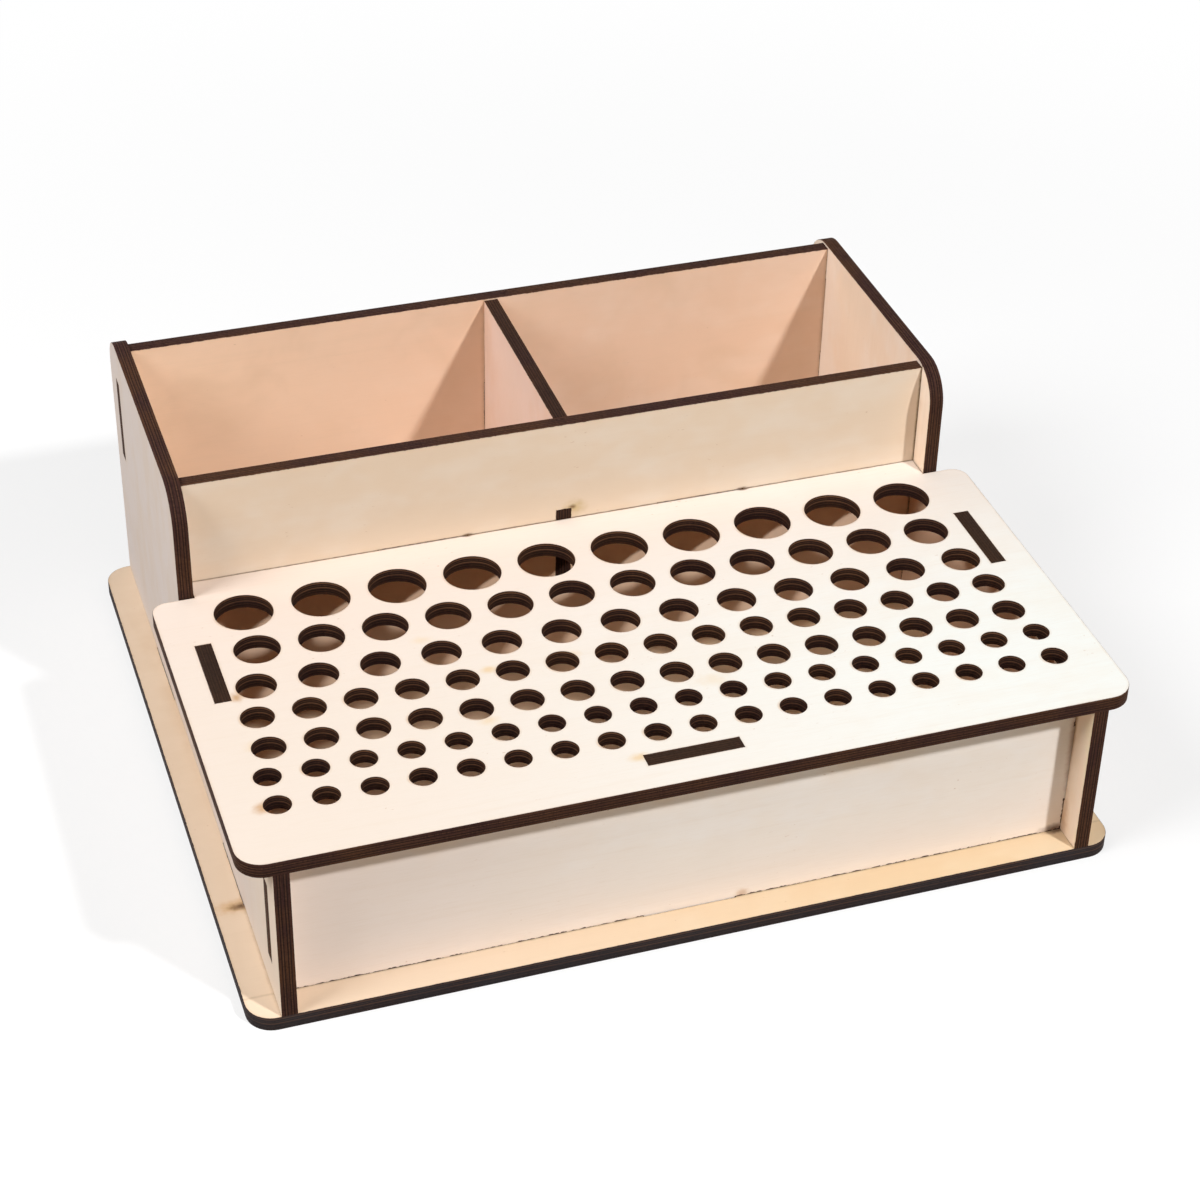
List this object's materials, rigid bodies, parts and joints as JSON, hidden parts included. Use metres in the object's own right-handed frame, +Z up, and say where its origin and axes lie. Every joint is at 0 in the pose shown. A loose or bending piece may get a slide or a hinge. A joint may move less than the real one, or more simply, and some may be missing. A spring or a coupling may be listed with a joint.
{
  "type": "bench tool rack",
  "caption": "Bench rack of laser-cut plywood: a low plate with rows of round holes for upright brushes and tools, and two open bins behind it.",
  "frame": {"origin": "centre of the footprint, on the table under the base plate", "axes": "+X to the rack's right as seen from the front, +Y from the front towards the bins, +Z up"},
  "size_m": [0.27, 0.232, 0.099],
  "materials": {
    "plywood": "matte"
  },
  "bodies": {
    "root": {"base_plate": "plywood", "left_side_panel": "plywood", "right_side_panel": "plywood", "hole_plate": "plywood", "front_panel": "plywood", "bin_front_panel": "plywood", "back_panel": "plywood", "bin_divider": "plywood"}
  },
  "joints": []
}
